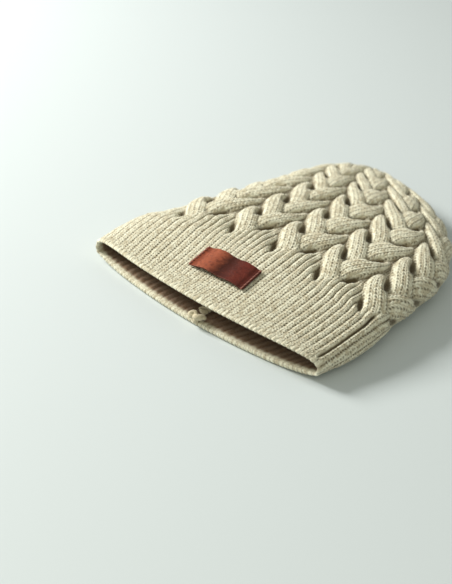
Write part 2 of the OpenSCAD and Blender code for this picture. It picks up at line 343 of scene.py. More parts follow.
def sway(t, lean, reach):
    """Sideways place of a strand's middle line, and its slope."""
    u = np.clip(t / SWAY_END, -1, 1)
    return (lean * reach * np.sin(np.pi / 2 * u),
            lean * reach * np.pi / 2 / (SWAY_END * CROSSING_STEP) * np.cos(np.pi / 2 * u))


def lay_strand(column, crossing_row, parity, lean, reach, half_widths, heights):
    """Offer the strands centred on the given lane and crossing of each grid point."""
    lane_no = np.mod(column, STRANDS).astype(int)
    row_no = np.clip(crossing_row.astype(int) + 8, 0, 63)
    uneven = jitter[lane_no, row_no]
    dx = (lane - column) * STRAND_WIDTH - 0.9 * uneven[..., 0] + 3.2 * parity
    dy = (crossing - crossing_row) * CROSSING_STEP - 1.2 * uneven[..., 1]
    # one step towards the nearest point of the middle line
    line_x, slope = sway(dy / CROSSING_STEP, lean, reach)
    foot = dy + (dx - line_x) * slope / (1 + slope * slope)
    t = foot / CROSSING_STEP
    line_x, slope = sway(t, lean, reach)
    distance = ((dx - line_x) - slope * (dy - foot)) / np.sqrt(1 + slope * slope)
    half = lookup(half_widths, t) * 0.93 * (1 + 0.07 * uneven[..., 2])
    across = distance / half
    height = ((inset + 0.5) * (1 + 0.06 * uneven[..., 3])
              * np.clip(1 - np.abs(across) ** 2.6, 0, 1) ** 0.5 * lookup(heights, t))
    # a strand rolls over as it crosses, so one flank is the fuller
    height = (height * (1 - 0.10 * lean * np.clip(across, -1, 1))
              * (1 - 0.22 * parity * near_fold))
    seen = ((np.abs(lane - column) < 1.5) & (np.abs(across) < 1) & (t > -1.6) & (t < 1.65)
            & (crossing_row >= parity))
    # the first strands run into the ribs at their start
    melt = 0.02 + 3.2 * ((crossing_row == 0) & (t < 0)) * smooth(-t / 0.5)
    offer(np.where(seen, height, -5.0), melt,
          wale=distance / (WALE_WIDTH * (0.30 + 0.70 * half / 10.0)),
          stitch=foot / 3.1 + 7.3 * uneven[..., 4],
          strand=lane_no * 64 + row_no, edge=np.abs(across))


for family in FAMILIES:
    for side in (-2, 0, 2):
        for step in (-2, 0, 2):
            lay_strand(nearest(lane, family["parity"]) + side,
                       nearest(crossing, family["parity"]) + step, **family)

# The holes beside each crossing, where the strands part: parity, x and y of the middle in mm,
# slope, half width and half length in mm.
PITS = [(0, -2.2, 0.0, -0.44, 2.7, 9.0),
        (1, -1.0, -1.5, 0.55, 3.4, 8.5)]
relief = surface["height"]
pits = np.zeros(around.shape)
for parity, pit_x, pit_y, slope, pit_width, pit_length in PITS:
    dx = (lane - nearest(lane, parity)) * STRAND_WIDTH - pit_x
    dy = (crossing - nearest(crossing, 1 - parity)) * CROSSING_STEP - pit_y
    lengthways = (dy + slope * dx) / math.sqrt(1 + slope * slope)
    sideways = (dx - slope * dy) / math.sqrt(1 + slope * slope)
    pit = (np.exp(-((sideways / pit_width) ** 2 + (lengthways / pit_length) ** 2) ** 1.3)
           * smooth((crossing + 1.9) / 0.6))
    pits = np.maximum(pits, pit)
    relief = relief * (1 - (1 - 0.6 * near_fold) * pit)
# one groove runs deeper, along the right fold
side_groove = bell(lane, 4.5, 0.045) * smooth((level - 12) / 8) * (1 - smooth((level - 84) / 8))
relief = np.maximum(relief - 2.6 * side_groove, 0.0)

# stitches: each wale is a column of Vs, each V two plump legs
wale, stitch = surface["wale"], surface["stitch"]
wale_share = wale - np.floor(wale)
wale_side = np.abs(wale_share - 0.5) * 2                   # 0 mid-wale, 1 at its edge
leg = np.sin(np.pi * np.clip(wale_side, 0, 1)) ** 0.7
phase = stitch - 0.95 * wale_side + 0.10 * np.sin(5.1 * wale + 0.7 * stitch)
loop = 0.5 + 0.5 * np.cos(2 * np.pi * phase)
texture = leg * (0.30 + 0.70 * loop**0.8)
edge_fade = np.clip(1.1 - 0.6 * surface["edge"] ** 4, 0.15, 1)
lip_loops = bell(along, 1.5, 2.2) * (np.abs(np.sin(np.pi * around * WALES)) ** 0.8 - 0.6)
purl = 0.40 * lip_loops + np.where((level < 84) & (rib_side > 0.9),
                                   0.3 * (0.5 + 0.5 * course_wave), 0.0)
height = relief + 0.95 * np.clip(width_share, 0.2, 1.0) * (texture - 0.35) * edge_fade + purl

# painted shade in the dark gaps: at the edge of each wale, once a stitch
hole = (np.clip((wale_side - 0.50) / 0.26, 0, 1)
        * (0.08 + 0.92 * np.clip(0.60 - 0.70 * np.cos(2 * np.pi * (phase + 0.10)), 0, 1))
        * (0.75 + 0.35 * np.sin(2.3 * np.floor(wale) + 1.7 * stitch)))
hole = np.clip(hole, 0, 1) * (1 - bell(along, 1.0, 2.0))
# more painted shade: between the lip loops, in the side groove, in the pits, between the ribs and down each
# wale
for gap in (
    np.clip(-lip_loops * 1.6, 0, 1),
    0.9 * side_groove,
    0.80 * smooth((pits - 0.45) / 0.4) * cabled,
    # between the ribs the gaps are the largest
    (relief <= rib_height + 0.01) * (along > 4) * smooth((rib_side - 0.66) / 0.24)
    * np.clip(0.42 - 0.95 * rib_wave, 0, 1),
    # the hairline down the middle of a wale
    0.28 * np.clip((0.20 - wale_side) / 0.2, 0, 1) * (0.5 - 0.5 * np.cos(2 * np.pi * phase)),
):
    hole = np.maximum(hole, gap)

# tone of each leg of yarn, so that the marl shows
tones = rng.random(4096)
leg_no = (np.floor(wale) * 2 + (wale_share > 0.5)).astype(int)
tone = tones[np.mod(leg_no * 131 + np.floor(phase + 0.5).astype(int) * 17
                    + surface["strand"].astype(int) * 7, 4096)]


def blur(values, radius):
    """Box blur, twice, wrapping round the hat."""
    size = 2 * radius + 1
    for _ in range(2):
        wrapped = [values[:, -radius - 1:], values, values[:, :radius]]
        total = np.cumsum(np.concatenate(wrapped, 1), 1)
        values = (total[:, size:] - total[:, :-size]) / size
        padded = [np.repeat(values[:1], radius + 1, 0), values,
                  np.repeat(values[-1:], radius, 0)]
        total = np.cumsum(np.concatenate(padded, 0), 0)
        values = (total[size:] - total[:-size]) / size
    return values


# height over the surroundings, wide and fine: negative in the hollows, where the yarn material paints shade
wide_hollow = np.clip((height - blur(height, 10)) / 3.2, -1, 1)
fine_hollow = np.clip((height - blur(height, 2)) / 0.8, -1, 1)


def grid_normals(grid):
    du = np.roll(grid, -1, 1) - np.roll(grid, 1, 1)
    cross = np.cross(du, np.gradient(grid, axis=0))
    return cross / np.maximum(np.linalg.norm(cross, axis=-1, keepdims=True), 1e-9)


normals = grid_normals(skin(station, angle, 3.0))
outside = skin(station, angle, inset + draw_in) + normals * height[..., None]
# the back is pressed flat on what it lies on
outside_z = outside[..., 2]
outside[..., 2] = np.where(outside_z < 1.2, 0.15 + 1.05 * np.exp((outside_z - 1.2) / 1.05),
                           outside_z)

# ------------------------------------------------------------------ the inside
under_side = smooth(-np.sin(np.radians(angle)) / 0.5)
depth = wall(station) * (0.68 + 0.22 * under_side
                         + (0.32 - 0.22 * under_side) * smooth((station - 6) / 40))
depth = np.minimum(depth, np.minimum(0.55 * FOLD_SHARE * top_z(station),
                                     0.6 * half_width(station)))
# never nearer than a yarn's thickness to the bottom of the outside hollows
deepest = inset + draw_in - height
for _ in range(4):
    deepest = np.maximum(deepest, np.maximum(np.roll(deepest, 1, 1), np.roll(deepest, -1, 1)))
    deepest[1:-1] = np.maximum(deepest[1:-1], np.maximum(deepest[:-2], deepest[2:]))
depth = np.maximum(depth, np.minimum(blur(deepest, 3) + 1.6, fold_z(station) - 1.5))
inner_rib = (np.abs(np.mod(lane * RIBS + 0.5, 1.0) - 0.5) * 2) ** 1.6
inner_relief = ((1 - cabled) * 1.15 * (1 - inner_rib) * smooth((along - 1) / 5)
                + cabled * (0.6 * np.clip(relief / 6.0, 0, 1)) * gain)
inside = skin(np.minimum(station, HAT_LENGTH - 3.0), angle, depth)
inside = inside - normals * (inner_relief + 0.25 * (0.5 + 0.5 * course_wave))[..., None]
inside = inside + normals * 0.7

for points in (outside, inside):        # the left end of the mouth gapes a little
    gape = smooth((-60 - points[..., 0]) / 50) * np.clip(1 - points[..., 1] / 62, 0, 1)
    points[..., 0] -= 4.0 * gape
    points[..., 2] += 2.0 * gape * np.clip((points[..., 2] - 8) / 10, 0, 1)


def lip_rings():
    """Rings from the inside edge of the mouth round to the outside edge."""
    middle = (outside[0] + inside[0]) / 2
    radius = (outside[0] - inside[0]) / 2
    rings = []
    for n in range(LIP_ROWS):
        f = np.pi * (1 - n / LIP_ROWS)
        bead = np.abs(np.sin(np.pi * (column_around * WALES + 0.35 * np.cos(f)))) ** 0.8
        reach = 2.0 - 1.2 * under_side[0] + 0.75 * bead
        rings.append(middle + radius * (math.cos(f) * (0.93 + 0.10 * bead))[:, None]
                     + np.array([0, -1.0, 0]) * (reach * math.sin(f))[:, None])
    return np.array(rings)


def tip_rings():
    """Rings that close the tip, the last loops drawn into a pucker."""
    centre = np.array([tip_x, HAT_LENGTH, tip_z + 1.4])
    rings = []
    for n in range(1, TIP_ROWS + 1):
        f = n / TIP_ROWS
        pucker = 1 + 0.10 * (1 - f) * f * 4 * np.cos(2 * np.pi * column_around)
        ring = centre + (outside[-1] - centre) * ((1 - f) ** 0.9 * pucker)[:, None]
        ring[:, 1] = (HAT_LENGTH + 1.3 * math.sin(np.pi * min(1, f * 1.35))
                      - 3.2 * max(0.0, f - 0.45) ** 1.2)
        rings.append(ring)
    rings = np.array(rings)
    rings[-1] = rings[-1].mean(0)
    return rings


def extend(values, lip, tip):
    """Rows of values for the whole outer grid: lip, hat, tip."""
    return np.concatenate([np.broadcast_to(lip, (LIP_ROWS, COLUMNS)), values,
                           np.broadcast_to(tip, (TIP_ROWS, COLUMNS))], 0)


def coarse(values):
    """Values of the inner grid, which starts one step in from the lip."""
    return values[COARSE::COARSE, ::COARSE]


def coarse_closed(values):
    return np.pad(coarse(values), ((0, 2), (0, 0)), mode="edge")


outer_grid = np.concatenate([lip_rings(), outside, tip_rings()], 0)
inner_grid = coarse(inside)
inner_tip = inner_grid[-1].mean(0)
inner_grid = np.concatenate([
    inner_grid, inner_tip + (inner_grid[-1:] - inner_tip) * 0.5,
    np.repeat(inner_tip[None, None], inner_grid.shape[1], 1)], 0)

# point attributes that the yarn material reads: painted shade for the gaps, the hollows and the inside, and
# the tone of each leg
# painted shade between the loops of the lip
lip_gap_shade = 0.52 * np.clip(1 - np.abs(np.sin(np.pi * column_around * WALES)) * 1.9, 0, 1)
OUTER_VALUES = {
    "inside": np.zeros(outer_grid.shape[:2]),
    "hole": extend(hole, lip_gap_shade, 0.3),
    "hollow_shade": extend(wide_hollow, 0.1, -0.5),
    "stitch_hollow_shade": extend(fine_hollow, 0.2, 0.0),
    "tone": extend(tone, tone[0], tone[-1]),
}
# painted shade in the grooves of the inner ribs and under the cables
inner_shade = (0.05 - 0.55 * inner_rib * (0.72 + 0.28 * course_wave) * (1 - cabled)
                * smooth((along - 1.5) / 2.5) + 0.35 * (wide_hollow - 0.3) * cabled)
INNER_VALUES = {
    # the inside surface is darkened as painted shade
    "inside": coarse_closed(smooth((along - 1.0) / 4.0)),
    "hole": np.zeros(inner_grid.shape[:2]),
    "hollow_shade": coarse_closed(inner_shade),
    "stitch_hollow_shade": np.zeros(inner_grid.shape[:2]),
    "tone": coarse_closed(tone),
}
# the front layer lifts with the front of the band; the folds follow in part, the back stays
front_share = smooth((angle + 16) / 44) * smooth((196 - angle) / 44)
front_share = np.where(angle > 300, smooth((angle - 360 + 16) / 44), front_share)
band_share = smooth((92 - station) / 42) * front_share
outer_share = extend(band_share, band_share[0], 0.0)
inner_share = np.pad(coarse(band_share), ((0, 2), (0, 0)))


# ------------------------------------------------------------------ meshes
def mesh_object(name, points, quads, tris, material, smooth_shade=True):
    """Object from points in mm."""
    mesh = bpy.data.meshes.new(name)
    mesh.vertices.add(len(points))
    mesh.vertices.foreach_set("co", np.asarray(points * MM, np.float32).ravel())
    corners = np.concatenate([np.asarray(quads, np.int32).ravel(),
                              np.asarray(tris, np.int32).ravel()])
    mesh.loops.add(len(corners))
    mesh.loops.foreach_set("vertex_index", corners)
    starts = np.concatenate([np.arange(len(quads)) * 4,
                             len(quads) * 4 + np.arange(len(tris)) * 3])
    mesh.polygons.add(len(starts))
    mesh.polygons.foreach_set("loop_start", starts.astype(np.int32))
    mesh.update(calc_edges=True)
    mesh.validate()
    if smooth_shade:
        mesh.shade_smooth()
    else:
        mesh.shade_flat()
    mesh.materials.append(material)
    ob = bpy.data.objects.new(name, mesh)
    bpy.context.scene.collection.objects.link(ob)
    return ob


def add_attribute(ob, name, values):
    attribute = ob.data.attributes.new(name, "FLOAT", "POINT")
    attribute.data.foreach_set("value", values.astype(np.float32))


def grid_faces(ids, flip=False):
    """Quads of a grid of point numbers; flip turns them over."""
    sides = [ids[:-1, 1:], ids[1:, :-1]]
    if flip:
        sides.reverse()
    return np.stack([ids[:-1, :-1], sides[0], ids[1:, 1:], sides[1]], -1).reshape(-1, 4)


def tube_faces(rings, sides, first=0, flip=False):
    """Faces of a tube of rings, closed on the two end points that follow them."""
    ids = first + np.arange(rings * sides).reshape(rings, sides)
    ids = np.column_stack([ids, ids[:, 0]])
    one, two = ids[:, 1:], ids[:, :-1]
    if flip:
        one, two = two, one
    end = np.full(sides, first + rings * sides)
    tris = np.concatenate([np.stack([one[0], two[0], end], -1),
                           np.stack([two[-1], one[-1], end + 1], -1)])
    return grid_faces(ids, flip), tris


def zipper(points_a, points_b, ids_a, ids_b, flip):
    """Triangles between two polylines of different counts."""
    tris, i, j = [], 0, 0
    while i < len(ids_a) - 1 or j < len(ids_b) - 1:
        if j == len(ids_b) - 1 or (
                i < len(ids_a) - 1 and np.sum((points_a[i + 1] - points_b[j]) ** 2)
                <= np.sum((points_b[j + 1] - points_a[i]) ** 2)):
            tri = (ids_a[i], ids_a[i + 1], ids_b[j])
            i += 1
        else:
            tri = (ids_a[i], ids_b[j + 1], ids_b[j])
            j += 1
        tris.append(tri[::-1] if flip else tri)
    return tris


def split_faces(faces):
    """Quads and triangles left once merged points have flattened some faces."""
    is_tri = faces[:, 2] == faces[:, 3]
    quads = faces[~is_tri]
    flattened = ((quads[:, 0] == quads[:, 1]) | (quads[:, 1] == quads[:, 2])
                 | (quads[:, 3] == quads[:, 0]))
    reduced = [list(dict.fromkeys(f.tolist())) for f in quads[flattened]]
    reduced = [f for f in reduced if len(f) == 3]
    tris = np.concatenate([faces[is_tri][:, :3], np.array(reduced, int).reshape(-1, 3)])
    tris = tris[(tris[:, 0] != tris[:, 1]) & (tris[:, 1] != tris[:, 2])
                & (tris[:, 0] != tris[:, 2])]
    return quads[~flattened], tris


def knit_slab(name, first_row, last_row, first_column, last_column, material):
    """One closed piece of the knit, and its points' shares of the band's movement.

    Rows are hat rows, and None takes in the lip or the tip. Columns wrap.
    """
    start, stop = 0, outer_grid.shape[0]
    inner_start, inner_stop = 0, inner_grid.shape[0]
    if first_row is not None:
        start, inner_start = first_row + LIP_ROWS, first_row // COARSE - 1
    if last_row is not None:
        stop, inner_stop = last_row + LIP_ROWS + 1, last_row // COARSE
    outer_pick = np.ix_(np.arange(start, stop),
                        np.mod(np.arange(first_column, last_column + 1), COLUMNS))
    inner_pick = np.ix_(np.arange(inner_start, inner_stop),
                        np.mod(np.arange(first_column // COARSE, last_column // COARSE + 1),
                               COLUMNS // COARSE))
    outer, inner = outer_grid[outer_pick], inner_grid[inner_pick]
    rows, columns = outer.shape[:2]
    outer_ids = np.arange(rows * columns).reshape(rows, columns)
    inner_ids = rows * columns + np.arange(inner[..., 0].size).reshape(inner.shape[:2])
    tris = (zipper(outer[:, 0], inner[:, 0], outer_ids[:, 0], inner_ids[:, 0], False)
            + zipper(outer[:, -1], inner[:, -1], outer_ids[:, -1], inner_ids[:, -1], True)
            + zipper(outer[0], inner[0], outer_ids[0], inner_ids[0], True))
    if last_row is not None:
        tris += zipper(outer[-1], inner[-1], outer_ids[-1], inner_ids[-1], False)
    tris = np.array(tris)
    faces = np.concatenate([grid_faces(outer_ids), grid_faces(inner_ids, flip=True),
                            np.column_stack([tris, tris[:, 2]])])
    points = np.concatenate([outer.reshape(-1, 3), inner.reshape(-1, 3)])
    # merge the points that meet at the tip
    key = np.round(points * 2000).astype(np.int64)
    _, kept, merged = np.unique(key, axis=0, return_index=True, return_inverse=True)
    quads, tris = split_faces(merged.reshape(-1)[faces])
    ob = mesh_object(name, points[kept], quads, tris, material)

    def picked(outer_values, inner_values):
        return np.concatenate([outer_values[outer_pick].ravel(),
                               inner_values[inner_pick].ravel()])[kept]

    for key_name, values in OUTER_VALUES.items():
        add_attribute(ob, key_name, picked(values, INNER_VALUES[key_name]))
    return ob, picked(outer_share, inner_share)


def yarn_tubes(name, paths, radius, material, lay, sides=10):
    """Two-ply yarn laid along each path (mm), as closed tubes in one mesh; lay is the length
    of a half turn of the plies."""
    end_share = 0.6               # radius left at the ends
    points, quads, tris = [], [], []
    count = 0
    theta = np.linspace(0, 2 * np.pi, sides, endpoint=False)
    for path in paths:
        path = np.asarray(path, float)
        lengths = np.linalg.norm(np.diff(path, axis=0), axis=1)
        arc = np.concatenate([[0], np.cumsum(lengths)])
        n = max(6, int(arc[-1] / (radius * 0.42)))
        at = np.linspace(0, arc[-1], n)
        path = np.stack([np.interp(at, arc, path[:, k]) for k in range(3)], 1)
        tangent = np.gradient(path, axis=0)
        tangent /= np.linalg.norm(tangent, axis=1)[:, None]
        upright = abs(tangent[0, 2]) >= 0.9
        side = np.cross(tangent[0], np.array([1.0, 0, 0] if upright else [0.0, 0, 1]))
        for k in range(n):
            side = side - tangent[k] * np.dot(side, tangent[k])
            side /= np.linalg.norm(side)
            other = np.cross(tangent[k], side)
            to_end = min(at[k], arc[-1] - at[k]) / radius
            plies = 0.80 + 0.24 * np.abs(np.cos(theta - np.pi * at[k] / lay)) ** 0.8
            size = radius * (end_share + (1 - end_share) * math.sqrt(min(1.0, to_end))) * plies
            points.append(path[k] + size[:, None] * (np.cos(theta)[:, None] * side
                                                     + np.sin(theta)[:, None] * other))
        points += [path[:1] - tangent[:1] * radius * 0.5, path[-1:] + tangent[-1:] * radius * 0.5]
        path_quads, path_tris = tube_faces(n, sides, first=count)
        quads.append(path_quads)
        tris.append(path_tris)
        count += n * sides + 2
    return mesh_object(name, np.concatenate(points), np.concatenate(quads),
                       np.concatenate(tris), material)


def thin_sheet(name, top, bottom, between, material, sharp_angle):
    """Closed sheet from two grids of points; between lists grids whose rims round the edge."""
    rows, columns = top.shape[:2]
    count = rows * columns
    ids = np.arange(count).reshape(rows, columns)
    rim = np.concatenate([ids[:-1, 0], ids[-1, :-1], ids[:0:-1, -1], ids[0, :0:-1]])
    points = [top.reshape(-1, 3), bottom.reshape(-1, 3)]
    points += [grid.reshape(-1, 3)[rim] for grid in between]
    chain = [rim]
    chain += [2 * count + k * len(rim) + np.arange(len(rim)) for k in range(len(between))]
    chain += [rim + count]
    quads = [grid_faces(ids, flip=True), grid_faces(ids + count)]
    for one, two in zip(chain[:-1], chain[1:]):
        quads.append(np.stack([one, two, np.roll(two, -1), np.roll(one, -1)], -1))
    ob = mesh_object(name, np.concatenate(points), np.concatenate(quads),
                     np.zeros((0, 3), int), material)
    ob.data.set_sharp_from_angle(angle=math.radians(sharp_angle))
    return ob


# ------------------------------------------------------------------ materials
class Shader:
    """A material with one Principled surface, and short ways to add nodes to it."""

    def __init__(self, name):
        self.material = bpy.data.materials.new(name)
        self.material.use_nodes = True
        self.tree = self.material.node_tree
        self.tree.nodes.clear()
        self.object_coords = None
        output = self.add("OutputMaterial")
        self.surface = self.add("BsdfPrincipled")
        self.tree.links.new(self.surface.outputs[0], output.inputs[0])

    def add(self, kind):
        return self.tree.nodes.new("ShaderNode" + kind)

    def feed(self, socket, value):
        """Link a socket, or set its value; colours are RGB."""
        if isinstance(value, bpy.types.NodeSocket):
            self.tree.links.new(value, socket)
        else:
            socket.default_value = (*value, 1) if isinstance(value, tuple) else value

    def set(self, inputs):
        for name, value in inputs.items():
            self.feed(self.surface.inputs[name], value)

    def coords(self):
        if self.object_coords is None:
            self.object_coords = self.add("TexCoord").outputs["Object"]
        return self.object_coords

    def texture(self, kind, output="Fac", **inputs):
        node = self.add("Tex" + kind)
        for name, value in inputs.items():
            node.inputs[name].default_value = value
        self.feed(node.inputs["Vector"], self.coords())
        return node.outputs[output]

    def noise(self, **inputs):
        return self.texture("Noise", **inputs)

    def wave(self, direction="DIAGONAL", **inputs):
        output = self.texture("Wave", **inputs)
        output.node.bands_direction = direction
        return output

    def attribute(self, name):
        node = self.add("Attribute")
        node.attribute_name = name
        return node.outputs["Fac"]

    def math(self, operation, *values):
        node = self.add("Math")
        node.operation = operation
        for socket, value in zip(node.inputs, values):
            self.feed(socket, value)
        return node.outputs[0]

    def scale_add(self, value, factor, offset):
        return self.math("MULTIPLY_ADD", value, factor, offset)

    def mix(self, factor, first, second):
        node = self.add("Mix")
        node.data_type = "RGBA"
        # inputs 6 and 7 are the two colours
        for index, value in ((0, factor), (6, first), (7, second)):
            self.feed(node.inputs[index], value)
        return node.outputs[2]

    def ramp(self, value, stops):
        """Colour ramp through stops of position and RGB; a single number is a grey."""
        node = self.add("ValToRGB")
        elements = node.color_ramp.elements
        while len(elements) < len(stops):
            elements.new(0.5)
        for element, (position, colour) in zip(elements, stops):
            rgb = colour if isinstance(colour, tuple) else (colour,) * 3
            element.position, element.color = position, (*rgb, 1)
        self.feed(node.inputs[0], value)
        return node.outputs[0]

    def bump(self, height, strength, distance):
        node = self.add("Bump")
        node.inputs["Strength"].default_value = strength
        node.inputs["Distance"].default_value = distance
        self.feed(node.inputs["Height"], height)
        self.set({"Normal": node.outputs[0]})


def yarn_material(name, knit):
    """Marled yarn, with painted shade in its gaps, hollows and inside. Only the knit pieces carry the
    attributes for tone and hollows.
    """
    light, dark, fleck = (0.86, 0.835, 0.655), (0.555, 0.485, 0.325), (0.33, 0.26, 0.15)
    shader = Shader(name)
    marl = shader.noise(Scale=900.0, Detail=2.0, Roughness=0.6)
    fibre = shader.noise(Scale=2600.0, Detail=2.0, Roughness=0.7)
    patch = shader.noise(Scale=14.0, Detail=2.0)
    leg_tone, wide, fine = (
        shader.attribute(key) if knit else shader.add("Value").outputs[0]
        for key in ("tone", "hollow_shade", "stitch_hollow_shade"))
    blend = shader.scale_add(leg_tone, 0.46, shader.scale_add(marl, 0.75, -0.11))
    colour = shader.mix(shader.ramp(blend, [(0.30, 0), (0.62, 1)]), dark, light)
    flecks = shader.ramp(shader.scale_add(leg_tone, 0.12, marl), [(0.335, 1), (0.40, 0)])
    colour = shader.mix(shader.math("MULTIPLY", flecks, 0.75), colour, fleck)
    colour = shader.mix(shader.math("MULTIPLY", patch, 0.22), colour, (0.90, 0.87, 0.74))
    # painted shade: hollows between strands, then between stitches, then gaps, then the inside, are darker
    deep_shade = shader.ramp(shader.scale_add(wide, -0.5, 0.5), [(0.545, 0), (0.82, 1)])
    colour = shader.mix(shader.math("MULTIPLY", deep_shade, 0.94), colour, (0.090, 0.064, 0.030))
    shallow_shade = shader.ramp(shader.scale_add(fine, -0.5, 0.5), [(0.46, 0), (0.9, 1)])
    colour = shader.mix(shader.math("MULTIPLY", shallow_shade, 0.45), colour, (0.36, 0.29, 0.18))
    for key, share, shade in (("hole", 0.95, (0.085, 0.062, 0.028)),
                              ("inside", 0.84, (0.145, 0.066, 0.033))):
        colour = shader.mix(shader.math("MULTIPLY", shader.attribute(key), share),
                            colour, shade)
    shader.set({
        "Base Color": colour, "Roughness": 0.86,
        "Sheen Weight": shader.scale_add(shader.attribute("inside"), -0.32, 0.35),
        "Sheen Roughness": 0.45, "Sheen Tint": (0.95, 0.92, 0.85),
        "Specular IOR Level": 0.18})
    twist = shader.wave(Scale=420.0, Distortion=6.0, Detail=2.0)
    height = shader.scale_add(fibre, 0.7, shader.math("MULTIPLY", twist, 0.5))
    shader.bump(height, strength=0.55, distance=0.0004)
    return shader.material


def thread_material(name, colour):
    shader = Shader(name)
    mottle = shader.noise(Scale=2200.0, Detail=2.0)
    shader.set({"Base Color": shader.mix(mottle, tuple(c * 0.6 for c in colour), colour),
                "Roughness": 0.6, "Sheen Weight": 0.2})
    shader.bump(shader.wave(Scale=900.0, Distortion=1.0), strength=0.5, distance=0.0002)
    return shader.material


def leather_material():
    shader = Shader("label_leather")
    split = shader.add("SeparateXYZ")
    shader.feed(split.inputs[0], shader.coords())
    cloud = shader.noise(Scale=95.0, Detail=4.0, Roughness=0.65)
    # share of the strip's length, from its left end, blurred by the clouding
    share = shader.scale_add(split.outputs[0], 1 / MM / LABEL_LENGTH,
                             (LABEL_LENGTH / 2 - LABEL_X) / LABEL_LENGTH)
    share = shader.math("ADD", share, shader.scale_add(cloud, 0.26, -0.13))
    # painted light and shade along the strip: lighter on the left swell, dark in the dip and at the steep
    # right end, over the leather's own darker stains
    colour = shader.ramp(share, [
        (0.03, (0.20, 0.042, 0.018)), (0.18, (0.34, 0.092, 0.046)),
        (0.34, (0.28, 0.072, 0.036)), (0.49, (0.060, 0.014, 0.008)),
        (0.60, (0.070, 0.015, 0.010)), (0.80, (0.16, 0.029, 0.019)),
        (0.97, (0.070, 0.013, 0.008))])
    spots = shader.noise(Scale=420.0, Detail=3.0, Roughness=0.7)
    dark_spots = shader.ramp(spots, [(0.36, 0.5), (0.50, 0)])
    colour = shader.mix(dark_spots, colour, (0.06, 0.016, 0.012))
    light_spots = shader.ramp(spots, [(0.60, 0), (0.75, 0.35)])
    colour = shader.mix(light_spots, colour, (0.40, 0.13, 0.065))
    # the cut edge is darker, and the underside and lower rim darker still as painted shade
    colour = shader.mix(shader.attribute("edge"), colour, (0.11, 0.035, 0.022))
    pores = shader.texture("Voronoi", output="Distance", Scale=1500.0)
    folds = shader.noise(Scale=160.0, Detail=5.0, Roughness=0.6, Distortion=1.6)
    ridge = shader.math("ABSOLUTE", shader.math("SUBTRACT", folds, 0.5), 0.0)
    crease = shader.ramp(ridge, [(0.0, 0), (0.035, 1)])
    height = shader.scale_add(pores, 0.35, shader.math("MULTIPLY", crease, 0.6))
    shader.bump(height, strength=0.45, distance=0.0003)
    shader.set({"Base Color": colour, "Roughness": shader.scale_add(spots, 0.30, 0.36),
                "Specular IOR Level": 0.16, "Coat Weight": 0.02, "Coat Roughness": 0.3})
    return shader.material


def satin_material():
    shader = Shader("care_satin")
    warp = shader.wave("X", Scale=1100.0)
    weft = shader.wave("Y", Scale=1600.0)
    cloud = shader.noise(Scale=60.0)
    shader.set({"Base Color": shader.mix(cloud, (0.74, 0.73, 0.70), (0.84, 0.84, 0.82)),
                "Roughness": 0.32, "Anisotropic": 0.6, "Sheen Weight": 0.3})
    shader.bump(shader.math("ADD", warp, weft), strength=0.3, distance=0.0001)
    return shader.material


KNIT_YARN = yarn_material("marled_yarn", knit=True)
SEAM_YARN = yarn_material("seam_yarn", knit=False)
LABEL_THREAD = thread_material("label_thread", (0.46, 0.16, 0.115))
CARE_THREAD = thread_material("care_thread", (0.80, 0.80, 0.78))
LEATHER = leather_material()
SATIN = satin_material()

# ------------------------------------------------------------------ the knitted pieces
body_row, crown_row, tip_row = row_of(BODY_START), row_of(CROWN_START), row_of(TIP_START)
LAYERS = {"front": (COLUMNS // 4, 3 * COLUMNS // 4),      # columns from fold to fold
          "back": (3 * COLUMNS // 4, 5 * COLUMNS // 4)}
# section, first row, last row, moves with the band, slot
for section, first_row, last_row, with_band, slot in (
    ("band", None, body_row, True, "rib_knit"),
    ("body", body_row, crown_row, True, "cable_knit"),
    ("crown", crown_row, tip_row, False, "cable_knit"),
    ("crown_end", tip_row, None, False, "cable_knit"),
):
    for layer, columns in LAYERS.items():
        name = f"knit_{section}_{layer}"
        ob, shares = knit_slab(name, first_row, last_row, *columns, KNIT_YARN)
        if with_band:
            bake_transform(ob, "hat", "front_band", **BAND_BLEND)
            # shares worked out per point replace the straight blend
            blend_values = ob.data.attributes["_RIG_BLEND"].data
            blend_values.foreach_set("value", shares.astype(np.float32))
        else:
            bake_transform(ob, "hat", "crown", **CROWN_BLEND)
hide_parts("rib_band_front")
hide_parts("rib_band_back")
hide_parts("cable_body")
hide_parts("cable_crown")

# ------------------------------------------------------------------ the back seam
SEAM_SPLIT = 185.0
SEAM_END = 0.9 * HAT_LENGTH


def seam_x(y):
    return 0.35 * mid_x(y)


def seam_ridge(name, y0, y1):
    """The turned-in edges of the panel: two rolls of loops side by side, one closed skin."""
    sides = 32
    stations = np.arange(y0, y1 + 0.01, 0.5)
    y, theta = np.meshgrid(stations, np.linspace(0, 2 * np.pi, sides, endpoint=False),
                           indexing="ij")
    cos, sin = np.cos(theta), np.sin(theta)
    lobes = 0.62 + 0.38 * np.abs(cos) ** 0.5
    bumps = 0.30 * np.cos(2 * np.pi * y / STITCH + 1.2 * np.sign(cos) + 1.5 * sin)
    end = np.sqrt(np.clip(np.minimum(y - y0, y1 - y) / 2.0, 0.02, 1))
    x = seam_x(y) + (3.5 + bumps) * end * cos + 0.25 * np.sin(y / 9.0)
    z = wall(y) + 2.0 + (2.6 * lobes + 0.5 * bumps) * end * sin * np.where(sin > 0, 1.0, 0.8)
    caps = np.array([[seam_x(y0), y0 - 0.3, wall(y0) + 2.0],
                     [seam_x(y1), y1 + 0.3, wall(y1) + 2.0]])
    points = np.concatenate([np.stack([x, y, z], -1).reshape(-1, 3), caps])
    return mesh_object(name, points, *tube_faces(len(stations), sides, flip=True), SEAM_YARN)


def seam_linking(name, y0, y1):
    """Slanting stitches of yarn over the ridge."""
    t = np.linspace(-1, 1, 15)
    paths = [np.stack([seam_x(y) + 3.9 * t, y + 2.2 * t,
                       wall(y) + 5.4 - 2.2 * np.abs(t) ** 2.4], 1)
             for y in np.arange(y0, y1, 4.0)]
    return yarn_tubes(name, paths, radius=0.75, material=SEAM_YARN, lay=2.6)


